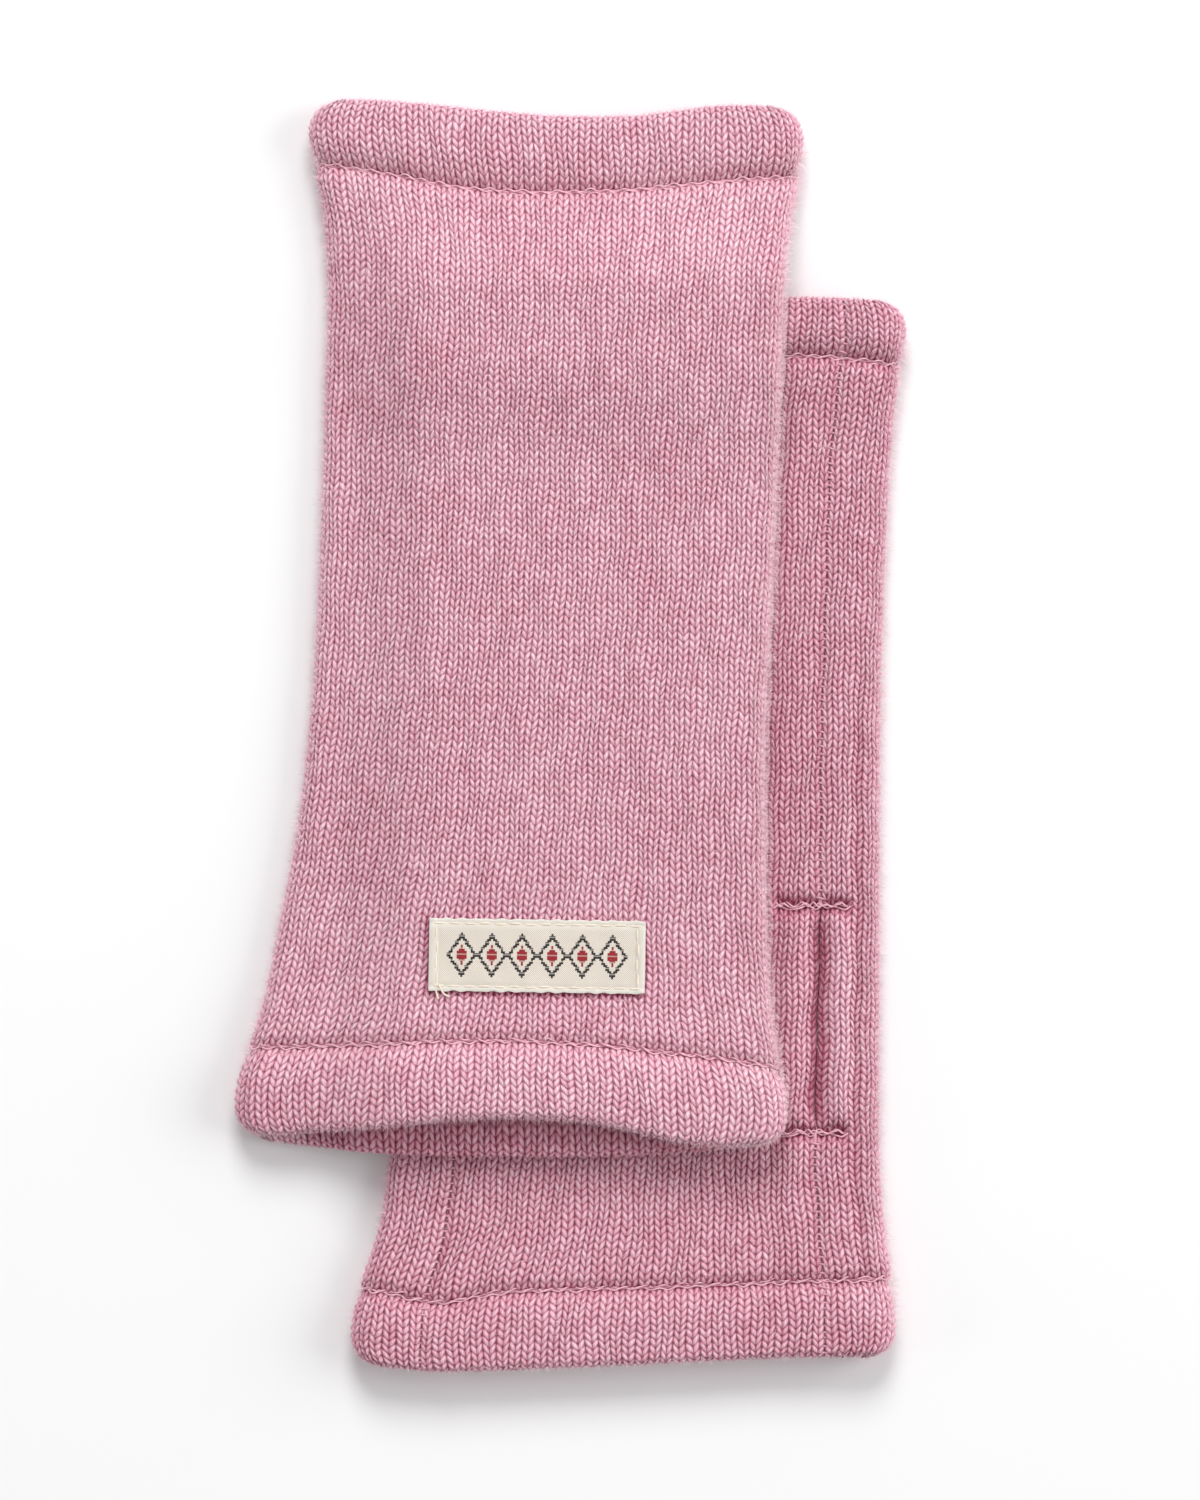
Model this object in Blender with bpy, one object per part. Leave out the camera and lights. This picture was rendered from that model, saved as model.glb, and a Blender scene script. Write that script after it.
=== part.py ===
"""A pair of knitted wrist warmers lying flat, the left hand's laid across the right hand's.

Each warmer is a tube of two knitted panels. The back panel covers the back of the hand and wraps
round both side folds; the palm panel lies between the two seams. The right-hand seam is left open
for the thumb. Both ends are turned in and stitched, which makes a hem of two layers. The upper
warmer lies with its back panel up and carries a woven label; the lower one lies palm side up.
"""

import math
from collections import namedtuple

import bmesh
import bpy
import numpy as np

MM = 0.001

# Cloth and seams, in millimetres.
CLOTH = 2.3  # one layer of the knit
SEAM_GAP = 0.3  # between two pieces that are sewn together
LAYER_GAP = 0.6  # between the two sides of the hem, where the tube lies flat
FOLD_EASE = 0.2  # how much rounder than half its thickness a side fold lies
BODY_THICK = 5.4  # both layers of the tube, lying on each other
HEM_THICK = 9.4  # four layers at the hems
LINE_THICK = 7.4  # the tube where a hem begins
LINE_REACH = 13.0  # how far from a hem's line the tube is still spread by it
HEM_SWELL = 3.5  # how soon past its line a hem is at its full thickness
PINCH = 0.9  # how deep the hem's stitching pulls the cloth in
PINCH_REACH = 1.6
CORNER = 5.5  # radius of a hem's corners, seen from above

# The thumb opening, in the seam on the right: a slit with stitched bars across both ends.
SEAM_AROUND = 29 / 45  # 29 of the 45 wales from the middle of the back to that of the palm
SLIT_FROM, SLIT_TO = 48.0, 95.6  # from the arm end
SLIT_OPEN = 1.1  # its widest gap, beyond the seam's own
ALLOWANCE = 8.0  # the turned-in cloth on each side of a seam
ALLOWANCE_RISE = 0.45  # how much that cloth raises the outside
SEAM_DIP, SEAM_DIP_REACH = 0.6, 1.1  # the seam's own groove
BAR_DIP, BAR_REACH = 0.5, 1.4  # the groove of the bars at the slit's ends

# The mouth of the upper warmer's arm end, where the top layer arches off the lower one.
ARCH, ARCH_REACH, ARCH_MIDDLE = 3.2, 24.0, -0.05
CROWN = {"upper": 0.8, "lower": 0.3}  # how far the flat tube is fuller at its middle
CROWN_REACH = 22.0

# The label sewn to the upper warmer's back.
LABEL_SIZE = (45.2, 15.2)
LABEL_AT = (0.2, 38.7)  # across from the warmer's own middle line, along from its arm end
LABEL_TURN = math.radians(-0.9)
LABEL_THICK = 0.8

# Where each warmer's own middle line and arm end lie, and how the upper one drapes over the lower.
PLACE = {"upper": (-7.1, -84.9), "lower": (16.6, -131.5)}
REST_GAP = 0.3
DRAPE_SIDE = 19.0  # how far past the lower warmer's left edge the upper one reaches the floor
DRAPE_END = 27.0  # and how far past its finger end
DRAPE_HEM = 16.0  # how far before the lower hem the upper warmer begins to ride up

# Sideways from the warmer's middle line to its two edges, at distances along from its arm end.
Width = namedtuple("Width", "along left right")
OUTLINE = {
    "upper": (
        Width(0, 62.9, 52.0),
        Width(6, 62.9, 52.1),
        Width(12, 62.4, 51.7),
        Width(18, 61.0, 50.6),
        Width(28, 57.7, 49.2),
        Width(44, 54.4, 48.3),
        Width(60, 51.2, 48.0),
        Width(80, 48.5, 47.9),
        Width(98, 46.8, 48.5),
        Width(123, 45.6, 49.8),
        Width(154, 44.6, 51.0),
        Width(183, 44.1, 52.3),
        Width(194, 44.9, 53.7),
        Width(202, 46.3, 55.2),
        Width(209, 47.2, 55.5),
        Width(219, 46.9, 55.0),
    ),
    "lower": (
        Width(0, 62.4, 51.3),
        Width(7, 62.4, 51.4),
        Width(12, 61.9, 51.3),
        Width(17, 60.6, 51.0),
        Width(27, 57.2, 49.6),
        Width(43, 54.7, 48.4),
        Width(60, 51.6, 48.3),
        Width(84, 48.3, 48.4),
        Width(105, 46.6, 48.4),
        Width(140, 45.0, 48.7),
        Width(171, 44.4, 49.7),
        Width(196, 44.9, 51.2),
        Width(206, 46.0, 52.4),
        Width(213, 46.9, 53.4),
        Width(224, 47.0, 53.5),
    ),
}

# Along from the arm end to the warmer's ends and hem lines, from its left edge (-1) to its right (1).
# arm_top and arm_under are the two layers of the arm end, which the upper warmer shows apart.
Across = namedtuple("Across", "across arm_top arm_under arm_line finger_line finger_end")
ENDS = {
    "upper": (
        Across(-1.0, 1.5, 0.5, 19.5, 204.2, 217.6),
        Across(-0.85, 0.9, -0.8, 19.6, 203.7, 218.2),
        Across(-0.67, 1.5, -2.0, 19.8, 202.3, 218.0),
        Across(-0.5, 2.3, -2.9, 20.3, 200.4, 217.3),
        Across(-0.25, 3.8, -3.6, 20.9, 198.7, 215.9),
        Across(0.0, 4.6, -3.8, 21.0, 198.4, 214.9),
        Across(0.3, 3.3, -3.7, 20.1, 198.9, 214.9),
        Across(0.65, -1.0, -2.7, 18.0, 200.7, 217.0),
        Across(1.0, -0.8, -1.2, 15.2, 201.8, 216.5),
    ),
    "lower": (
        Across(-1.0, -0.5, -0.5, 15.8, 211.5, 224.0),
        Across(-0.85, -1.3, -1.3, 14.7, 211.3, 224.2),
        Across(-0.67, -2.2, -2.2, 12.5, 211.0, 224.2),
        Across(-0.5, -2.1, -2.1, 14.3, 210.7, 224.0),
        Across(-0.25, -1.5, -1.5, 15.3, 210.5, 223.8),
        Across(0.0, -0.9, -0.9, 15.6, 210.4, 223.6),
        Across(0.3, 0.0, 0.0, 16.2, 210.5, 223.6),
        Across(0.65, 0.8, 0.8, 17.1, 210.6, 223.4),
        Across(1.0, 0.9, 0.9, 17.6, 208.4, 222.4),
    ),
}

# Where the solids have their points. Around is 0 at the middle of the back panel, 0.5 at the
# right side fold and 1 at the middle of the palm panel, and it is negative on the left.
BACK_SPOTS = (0.1, 0.2, 0.3, 0.4, 0.435, 0.46, 0.48, 0.5, 0.52, 0.54, 0.565, 0.6, 0.63)
PALM_SPOTS = (0.016, 0.045, 0.085, 0.13, 0.22)  # past the seam
ROWS_FROM_LINE = (0.0, 1.6, 4.0, 9.0, 17.0)  # body rows near each hem line
MIDDLE_ROWS = 9
HEM_ROWS = (0.0, 0.12, 0.35, 0.7, 1.0)  # shares of the hem's straight stretch
HEM_TURNS = (math.radians(30), math.radians(70))  # points on each half of the hem's fold

COLOURS = {"knit": (0.62, 0.32, 0.40, 1.0), "label": (0.80, 0.70, 0.58, 1.0)}


def column(table, name):
    return np.array([getattr(row, name) for row in table], float)


def eased(table, name, at):
    """A table's column read at any place in its first column, along a smooth cubic."""
    xs, ys = column(table, table[0]._fields[0]), column(table, name)
    slopes = np.gradient(ys, xs)
    i = np.clip(np.searchsorted(xs, at) - 1, 0, len(xs) - 2)
    span = xs[i + 1] - xs[i]
    t = np.clip((at - xs[i]) / span, 0, 1)
    rest = 1 - t
    ends = ys[i] * (1 + 2 * t) * rest**2 + ys[i + 1] * (3 - 2 * t) * t**2
    return ends + span * (slopes[i] * t * rest**2 - slopes[i + 1] * t**2 * rest)


def smoothstep(t):
    t = np.clip(t, 0, 1)
    return t * t * (3 - 2 * t)


def bell(distance, reach):
    return np.exp(-((distance / reach) ** 2))


def across_of(around):
    """From -1 at the left fold to 1 at the right fold, on either side of the flat tube."""
    return np.sign(around) * (1 - np.abs(1 - 2 * np.abs(around)))


def up_of(which, around):
    """1 where the flat tube faces up, 0 where it faces down, easing over at the folds."""
    share = smoothstep((np.abs(around) - 0.44) / 0.12)
    return share if which == "lower" else 1 - share


def line(which, around, name):
    return eased(ENDS[which], name, across_of(around))


def arm_end(which, around):
    up = up_of(which, around)
    return up * line(which, around, "arm_top") + (1 - up) * line(which, around, "arm_under")


def to_line(which, around, along):
    """Distance from the nearer hem line: positive on the tube, negative on the hem."""
    from_arm = along - line(which, around, "arm_line")
    from_finger = line(which, around, "finger_line") - along
    return np.minimum(from_arm, from_finger)


def thickness(which, around, along):
    """The flat tube's whole thickness, pinched in at the hem lines."""
    off = to_line(which, around, along)
    tube = BODY_THICK + (LINE_THICK - BODY_THICK) * bell(off, LINE_REACH)
    hem = HEM_THICK - (HEM_THICK - LINE_THICK) * np.exp(np.minimum(off, 0) / HEM_SWELL)
    return np.where(off > 0, tube, hem) - PINCH * bell(off, PINCH_REACH)


def lift(which, around, along):
    """How far the top layer stands off the layer below it, beyond the flat tube's thickness."""
    across = across_of(around)
    fuller = CROWN[which] * (1 - across**2) * smoothstep(to_line(which, around, along) / CROWN_REACH)
    if which == "lower":
        return fuller
    spread = np.clip(1 - ((across - ARCH_MIDDLE) / 0.85) ** 2, 0, 1) ** 1.5
    return fuller + ARCH * spread * bell(np.maximum(along - 3, 0), ARCH_REACH)


def relief(which, around, along, girth):
    """How far the outside stands up along the seams of the palm side, which only the lower one shows."""
    if which == "upper":
        return np.zeros_like(along)
    off = (np.abs(around) - SEAM_AROUND) * girth / 2
    band = np.exp(-((off / ALLOWANCE) ** 6))
    bars = bell(along - SLIT_FROM, BAR_REACH) + bell(along - SLIT_TO, BAR_REACH)
    bars = bars * (around > 0)
    return band * (ALLOWANCE_RISE - BAR_DIP * bars) - SEAM_DIP * bell(off, SEAM_DIP_REACH)


def drape(x, y):
    """Height of what the upper warmer lies on: the lower warmer, then a slope down to the floor."""
    along = y - PLACE["lower"][1]
    seen = np.clip(along, 0, None)
    left = PLACE["lower"][0] - eased(OUTLINE["lower"], "left", seen)
    flat = BODY_THICK + CROWN["lower"] + ALLOWANCE_RISE + REST_GAP
    over_hem = HEM_THICK + CROWN["lower"] + ALLOWANCE_RISE + REST_GAP
    before = np.maximum(eased(ENDS["lower"], "finger_line", 0.0) - along, 0)
    height = flat + (over_hem - flat) * bell(before, DRAPE_HEM)
    past_end = along - eased(ENDS["lower"], "finger_end", 0.0)
    past_side = left - x
    return height * (1 - smoothstep(past_end / DRAPE_END)) * (1 - smoothstep(past_side / DRAPE_SIDE))


def point(which, around, along, depth):
    """A point of the warmer: around the tube, along it, and depth in from its outside. In metres."""
    around, along, depth = np.broadcast_arrays(*(np.asarray(v, float) for v in (around, along, depth)))
    thick = thickness(which, around, along)
    left = eased(OUTLINE[which], "left", np.clip(along, 0, None))
    right = eased(OUTLINE[which], "right", np.clip(along, 0, None))
    bend = thick / 2 + FOLD_EASE
    flat = (left + right) / 2 - bend
    arc = math.pi * bend
    half_girth = 2 * flat + arc
    gone = np.abs(around) * half_girth
    turn = np.clip((gone - flat) / arc, 0, 1) * math.pi
    past = np.clip(gone - flat - arc, 0, None)
    depth = depth - relief(which, around, along, 2 * half_girth) * np.clip(1 - depth / CLOTH, 0, 1)
    out = np.minimum(gone, flat) - past + (bend - depth) * np.sin(turn)
    facing = np.cos(turn) * (-1 if which == "lower" else 1)
    height = thick / 2 + (thick / 2 - depth) * facing
    height = height + lift(which, around, along) * smoothstep(facing)
    from_end = np.minimum(along - arm_end(which, around), line(which, around, "finger_end") - along)
    inward = CORNER * (1 - np.sqrt(1 - np.clip(1 - from_end / CORNER, 0, 1) ** 2))
    out = out - inward * np.abs(across_of(around)) ** 5
    x = PLACE[which][0] + (right - left) / 2 + np.sign(around) * out
    y = PLACE[which][1] + along
    if which == "upper":
        height = height + drape(x, y)
    return np.stack([x, y, height], axis=-1) * MM


def seam_edge(which, side, along):
    """Around at the seam's two edges at a place along: the back panel's, then the palm panel's."""
    left = eased(OUTLINE[which], "left", along)
    right = eased(OUTLINE[which], "right", along)
    half = SEAM_GAP / 2
    if side > 0:
        share = np.clip((along - SLIT_FROM) / (SLIT_TO - SLIT_FROM), 0, 1)
        half = half + SLIT_OPEN / 2 * np.sin(share * math.pi)
    step = half / (left + right)
    return side * (SEAM_AROUND - step), side * (SEAM_AROUND + step)


def spots(which, panel, along):
    """Around at each of a panel's columns, from one seam to the other, at a place along."""
    right_back, right_palm = seam_edge(which, 1, along)
    left_back, left_palm = seam_edge(which, -1, along)
    if panel == "back":
        return [left_back, *(-s for s in reversed(BACK_SPOTS)), 0.0, *BACK_SPOTS, right_back]
    to_middle = [right_palm, *(SEAM_AROUND + s for s in PALM_SPOTS), 1.0]
    to_left = [*(-SEAM_AROUND - s for s in reversed(PALM_SPOTS)), left_palm]
    return to_middle + to_left


def body_columns(which, panel):
    """The wall's closed profiles, one for each column: up the outside and back down the inside."""
    count = len(spots(which, panel, 0.0))
    columns = []
    for n in range(count):
        rough = spots(which, panel, 0.0)[n]
        low = line(which, rough, "arm_line") + SEAM_GAP / 2
        high = line(which, rough, "finger_line") - SEAM_GAP / 2
        near = [low + step for step in ROWS_FROM_LINE]
        far = [high - step for step in reversed(ROWS_FROM_LINE)]
        between = np.linspace(near[-1], far[0], MIDDLE_ROWS + 2)[1:-1]
        rows = np.array([*near, *between, *far])
        around = np.array([spots(which, panel, row)[n] for row in rows])
        outside = point(which, around, rows, 0.0)
        inside = point(which, around, rows, CLOTH)
        columns.append([*outside, *inside[::-1]])
    return columns


def hem_columns(which, panel, end):
    """The hem's closed profiles: out from its line, round the folded edge, and back inside."""
    sign = -1 if end == "arm" else 1
    columns = []
    for n in range(len(spots(which, panel, 0.0))):
        at = 0.0 if end == "arm" else eased(ENDS[which], "finger_end", 0.0)
        around = spots(which, panel, at)[n]
        start = line(which, around, end + "_line") + sign * SEAM_GAP / 2
        stop = arm_end(which, around) if end == "arm" else line(which, around, "finger_end")
        wall = (thickness(which, around, (start + stop) / 2) - LAYER_GAP) / 2
        straight = abs(stop - start) - wall / 2
        steps = [share * straight for share in HEM_ROWS]
        rows = np.array([start + sign * step for step in steps])
        walls = (thickness(which, around, rows) - LAYER_GAP) / 2
        turned = np.array([start + sign * (straight + wall / 2 * math.sin(t)) for t in HEM_TURNS])
        sunk = np.array([wall / 2 * (1 - math.cos(t)) for t in HEM_TURNS])
        tip = (thickness(which, around, turned) - LAYER_GAP) / 2
        outside = [*point(which, around, rows, 0.0), *point(which, around, turned, sunk)]
        inside = [*point(which, around, rows, walls), *point(which, around, turned, tip - sunk)]
        columns.append(outside + inside[::-1])
    return columns


def material(name):
    made = bpy.data.materials.new(name)
    made.use_nodes = True
    shader = made.node_tree.nodes["Principled BSDF"]
    shader.inputs["Base Color"].default_value = COLOURS[name]
    shader.inputs["Roughness"].default_value = 0.9
    shader.inputs["Metallic"].default_value = 0.0
    made.diffuse_color = COLOURS[name]
    return made


def loft(name, columns, finish, parent, collection):
    """One closed wall through the columns, with its two side edges closed between the layers."""
    mesh = bpy.data.meshes.new(name)
    bm = bmesh.new()
    rows = [[bm.verts.new(place) for place in column] for column in columns]
    count = len(rows[0])
    for here, beyond in zip(rows, rows[1:]):
        for k in range(count):
            after = (k + 1) % count
            bm.faces.new((here[k], here[after], beyond[after], beyond[k]))
    for edge in (rows[0], rows[-1]):
        for k in range(count // 2 - 1):
            bm.faces.new((edge[k], edge[k + 1], edge[-2 - k], edge[-1 - k]))
    bmesh.ops.recalc_face_normals(bm, faces=bm.faces)
    bmesh.ops.triangulate(bm, faces=bm.faces)
    bm.to_mesh(mesh)
    bm.free()
    mesh.materials.append(finish)
    mesh.shade_smooth()
    mesh.set_sharp_from_angle(angle=math.radians(50))
    piece = bpy.data.objects.new(name, mesh)
    piece.parent = parent
    collection.objects.link(piece)
    return piece


def label_columns():
    """The label's two faces, made from the back panel's points moved out."""
    wide, tall = LABEL_SIZE
    columns = []
    for across in np.linspace(-wide / 2, wide / 2, 11):
        up = np.linspace(-tall / 2, tall / 2, 5)
        x = LABEL_AT[0] + across * math.cos(LABEL_TURN) - up * math.sin(LABEL_TURN)
        along = LABEL_AT[1] + across * math.sin(LABEL_TURN) + up * math.cos(LABEL_TURN)
        around = around_on_top(x, along)
        under = point("upper", around, along, -SEAM_GAP)
        over = point("upper", around, along, -SEAM_GAP - LABEL_THICK)
        columns.append([*over, *under[::-1]])
    return columns


def around_on_top(x, along):
    """Around on the upper warmer's top face, from a sideways distance off its middle line."""
    left = eased(OUTLINE["upper"], "left", along)
    right = eased(OUTLINE["upper"], "right", along)
    bend = thickness("upper", 0.0, along) / 2 + FOLD_EASE
    half_girth = left + right - 2 * bend + math.pi * bend
    return (x - (right - left) / 2) / half_girth


def centre_over_origin(parent, pieces):
    """Moves the parent so that the pair's box stands centred on the origin."""
    corners = np.concatenate([[v.co[:] for v in p.data.vertices] for p in pieces])
    low, high = corners.min(axis=0), corners.max(axis=0)
    parent.location = (-(low[0] + high[0]) / 2, -(low[1] + high[1]) / 2, 0.0)
    bpy.context.view_layer.update()


def main():
    for old in list(bpy.data.objects):
        bpy.data.objects.remove(old, do_unlink=True)
    collection = bpy.data.collections.new("wrist_warmers")
    bpy.context.scene.collection.children.link(collection)
    parent = bpy.data.objects.new("pair", None)
    collection.objects.link(parent)
    knit, tape = material("knit"), material("label")
    pieces = []
    for which in ("lower", "upper"):
        for panel in ("back", "palm"):
            name = f"{which}_{panel}"
            pieces.append(loft(name + "_panel", body_columns(which, panel), knit, parent, collection))
            for end in ("arm", "finger"):
                columns = hem_columns(which, panel, end)
                pieces.append(loft(f"{name}_{end}_hem", columns, knit, parent, collection))
    pieces.append(loft("upper_label", label_columns(), tape, parent, collection))
    centre_over_origin(parent, pieces)


main()
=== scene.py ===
# %% [markdown]
# A pair of knitted wrist warmers, one laid across the other
#
# Each warmer is a flat tube of thick, soft wool. Its stitches are big enough to see one by one, so
# they are built as real relief: thousands of small V shapes that follow the cloth over its folds
# and hems. The solids are made already, and every visible piece is laid exactly on them.

# %% Load the frame
import math
from collections import namedtuple

import bmesh
import bpy
import numpy as np
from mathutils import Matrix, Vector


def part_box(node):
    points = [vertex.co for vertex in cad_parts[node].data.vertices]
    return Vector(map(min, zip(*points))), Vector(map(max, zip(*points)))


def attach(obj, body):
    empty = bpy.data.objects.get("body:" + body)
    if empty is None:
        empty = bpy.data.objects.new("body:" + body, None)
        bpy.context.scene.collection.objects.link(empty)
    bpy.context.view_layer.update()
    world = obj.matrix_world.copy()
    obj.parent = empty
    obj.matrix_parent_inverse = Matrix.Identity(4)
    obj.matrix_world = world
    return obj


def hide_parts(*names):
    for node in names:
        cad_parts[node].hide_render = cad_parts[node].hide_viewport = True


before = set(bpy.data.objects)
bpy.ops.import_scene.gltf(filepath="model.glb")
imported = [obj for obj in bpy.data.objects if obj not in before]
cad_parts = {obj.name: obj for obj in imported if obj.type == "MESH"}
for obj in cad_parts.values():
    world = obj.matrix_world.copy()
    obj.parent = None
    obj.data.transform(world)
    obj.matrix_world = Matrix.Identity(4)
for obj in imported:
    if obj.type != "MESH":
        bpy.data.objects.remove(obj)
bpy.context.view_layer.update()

MM = 0.001
print("solids to dress:", sorted(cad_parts))

# %% [markdown]
# The shape of the cloth
#
# The knit lies on the solids, so it is worked out from the same sizes: the outlines, the hems'
# lines, the thickness and the drape. The tables are in millimetres, sideways from a warmer's
# middle line and along from its arm end.

# %% The outline and the hem lines
Width = namedtuple("Width", "along left right")
Across = namedtuple("Across", "across arm_top arm_under arm_line finger_line finger_end")


def rows_of(kind, *rows):
    return [kind(*row) for row in rows]


OUTLINE = {
    "upper": rows_of(
        Width,
        (0, 62.9, 52.0), (6, 62.9, 52.1), (12, 62.4, 51.7), (18, 61.0, 50.6),
        (28, 57.7, 49.2), (44, 54.4, 48.3), (60, 51.2, 48.0), (80, 48.5, 47.9),
        (98, 46.8, 48.5), (123, 45.6, 49.8), (154, 44.6, 51.0), (183, 44.1, 52.3),
        (194, 44.9, 53.7), (202, 46.3, 55.2), (209, 47.2, 55.5), (219, 46.9, 55.0),
    ),
    "lower": rows_of(
        Width,
        (0, 62.4, 51.3), (7, 62.4, 51.4), (12, 61.9, 51.3), (17, 60.6, 51.0),
        (27, 57.2, 49.6), (43, 54.7, 48.4), (60, 51.6, 48.3), (84, 48.3, 48.4),
        (105, 46.6, 48.4), (140, 45.0, 48.7), (171, 44.4, 49.7), (196, 44.9, 51.2),
        (206, 46.0, 52.4), (213, 46.9, 53.4), (224, 47.0, 53.5),
    ),
}
ENDS = {
    "upper": rows_of(
        Across,
        (-1.0, 1.5, 0.5, 19.5, 204.2, 217.6), (-0.85, 0.9, -0.8, 19.6, 203.7, 218.2),
        (-0.67, 1.5, -2.0, 19.8, 202.3, 218.0), (-0.5, 2.3, -2.9, 20.3, 200.4, 217.3),
        (-0.25, 3.8, -3.6, 20.9, 198.7, 215.9), (0.0, 4.6, -3.8, 21.0, 198.4, 214.9),
        (0.3, 3.3, -3.7, 20.1, 198.9, 214.9), (0.65, -1.0, -2.7, 18.0, 200.7, 217.0),
        (1.0, -0.8, -1.2, 15.2, 201.8, 216.5),
    ),
    "lower": rows_of(
        Across,
        (-1.0, -0.5, -0.5, 15.8, 211.5, 224.0), (-0.85, -1.3, -1.3, 14.7, 211.3, 224.2),
        (-0.67, -2.2, -2.2, 12.5, 211.0, 224.2), (-0.5, -2.1, -2.1, 14.3, 210.7, 224.0),
        (-0.25, -1.5, -1.5, 15.3, 210.5, 223.8), (0.0, -0.9, -0.9, 15.6, 210.4, 223.6),
        (0.3, 0.0, 0.0, 16.2, 210.5, 223.6), (0.65, 0.8, 0.8, 17.1, 210.6, 223.4),
        (1.0, 0.9, 0.9, 17.6, 208.4, 222.4),
    ),
}
PLACE = {"upper": (-7.1, -84.9), "lower": (16.6, -131.5)}


def eased(table, name, at):
    """A table's column, read at any place along a smooth cubic."""
    xs = np.array([row[0] for row in table], float)
    ys = np.array([getattr(row, name) for row in table], float)
    slopes = np.gradient(ys, xs)
    i = np.clip(np.searchsorted(xs, at) - 1, 0, len(xs) - 2)
    span = xs[i + 1] - xs[i]
    t = np.clip((at - xs[i]) / span, 0, 1)
    rest = 1 - t
    ends = ys[i] * (1 + 2 * t) * rest**2 + ys[i + 1] * (3 - 2 * t) * t**2
    return ends + span * (slopes[i] * t * rest**2 - slopes[i + 1] * t**2 * rest)


def smoothstep(t):
    t = np.clip(t, 0, 1)
    return t * t * (3 - 2 * t)


def bell(distance, reach):
    return np.exp(-((distance / reach) ** 2))


print("the upper warmer is", OUTLINE["upper"][8].left + OUTLINE["upper"][8].right, "mm wide")

# %% [markdown]
# Folding the tube flat
#
# A point of the cloth has three numbers: how far around the tube it lies (0 at the middle of the
# back, 1 at the middle of the palm, negative on the left), how far along, and how deep below the
# outside. The way around a flattened tube is a straight run, a tight half turn, and a straight
# run back.

# %% The cloth's thickness and drape
CLOTH = 2.3
SEAM_GAP = 0.04
LAYER_GAP = 0.6
FOLD_EASE = 0.2
BODY_THICK, HEM_THICK, LINE_THICK = 5.4, 9.4, 7.4
LINE_REACH, HEM_SWELL = 13.0, 3.5
PINCH, PINCH_REACH = 0.9, 1.6
CORNER, CORNER_STEEP = 5.5, 5
END_TURNS, END_EASE = 0.44, 0.12
WALES_ROUND = 90
HALF_ROUND = WALES_ROUND / 2
SEAM_WALE = 29
SEAM_AROUND = SEAM_WALE / HALF_ROUND
SLIT_FROM, SLIT_TO, SLIT_OPEN = 48.0, 95.6, 0.06
ALLOWANCE, ALLOWANCE_RISE = 8.0, 0.45
SEAM_DIP, SEAM_DIP_REACH = 0.6, 1.1
BAR_DIP, BAR_REACH = 0.5, 1.4
ARCH, ARCH_REACH, ARCH_MIDDLE, ARCH_HALF = 3.2, 24.0, -0.05, 0.85
ARCH_STEEP, ARCH_IN = 1.5, 3.0
CROWN = {"upper": 0.8, "lower": 0.3}
CROWN_REACH = 22.0
REST_GAP = 0.3
DRAPE_SIDE, DRAPE_END, DRAPE_HEM = 19.0, 27.0, 16.0


def across_of(around):
    return np.sign(around) * (1 - np.abs(1 - 2 * np.abs(around)))


def line(which, around, name):
    return eased(ENDS[which], name, across_of(around))


def hem_lines(which, around):
    return line(which, around, "arm_line"), line(which, around, "finger_line")


def arm_end(which, around):
    up = smoothstep((np.abs(around) - END_TURNS) / END_EASE)
    if which == "upper":
        up = 1 - up
    return up * line(which, around, "arm_top") + (1 - up) * line(which, around, "arm_under")


def to_line(which, around, along):
    low, high = hem_lines(which, around)
    return np.minimum(along - low, high - along)


def thickness(which, around, along):
    off = to_line(which, around, along)
    tube = BODY_THICK + (LINE_THICK - BODY_THICK) * bell(off, LINE_REACH)
    hem = HEM_THICK - (HEM_THICK - LINE_THICK) * np.exp(np.minimum(off, 0) / HEM_SWELL)
    return np.where(off > 0, tube, hem) - PINCH * bell(off, PINCH_REACH)


def lift(which, around, along):
    across = across_of(around)
    inside = smoothstep(to_line(which, around, along) / CROWN_REACH)
    fuller = CROWN[which] * (1 - across**2) * inside
    if which == "lower":
        return fuller
    spread = np.clip(1 - ((across - ARCH_MIDDLE) / ARCH_HALF) ** 2, 0, 1) ** ARCH_STEEP
    return fuller + ARCH * spread * bell(np.maximum(along - ARCH_IN, 0), ARCH_REACH)


def relief(which, around, along, girth):
    if which == "upper":
        return np.zeros_like(along)
    off = (np.abs(around) - SEAM_AROUND) * girth / 2
    band = np.exp(-((off / ALLOWANCE) ** 6))
    bars = bell(along - SLIT_FROM, BAR_REACH) + bell(along - SLIT_TO, BAR_REACH)
    bars = bars * (around > 0)
    return band * (ALLOWANCE_RISE - BAR_DIP * bars) - SEAM_DIP * bell(off, SEAM_DIP_REACH)


def drape(x, y):
    along = y - PLACE["lower"][1]
    left = PLACE["lower"][0] - eased(OUTLINE["lower"], "left", np.clip(along, 0, None))
    flat = BODY_THICK + CROWN["lower"] + ALLOWANCE_RISE + REST_GAP
    over_hem = HEM_THICK + CROWN["lower"] + ALLOWANCE_RISE + REST_GAP
    before = np.maximum(eased(ENDS["lower"], "finger_line", 0.0) - along, 0)
    height = flat + (over_hem - flat) * bell(before, DRAPE_HEM)
    past_end = along - eased(ENDS["lower"], "finger_end", 0.0)
    height = height * (1 - smoothstep(past_end / DRAPE_END))
    return height * (1 - smoothstep((left - x) / DRAPE_SIDE))


def widths(which, along):
    seen = np.clip(along, 0, None)
    return eased(OUTLINE[which], "left", seen), eased(OUTLINE[which], "right", seen)


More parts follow.
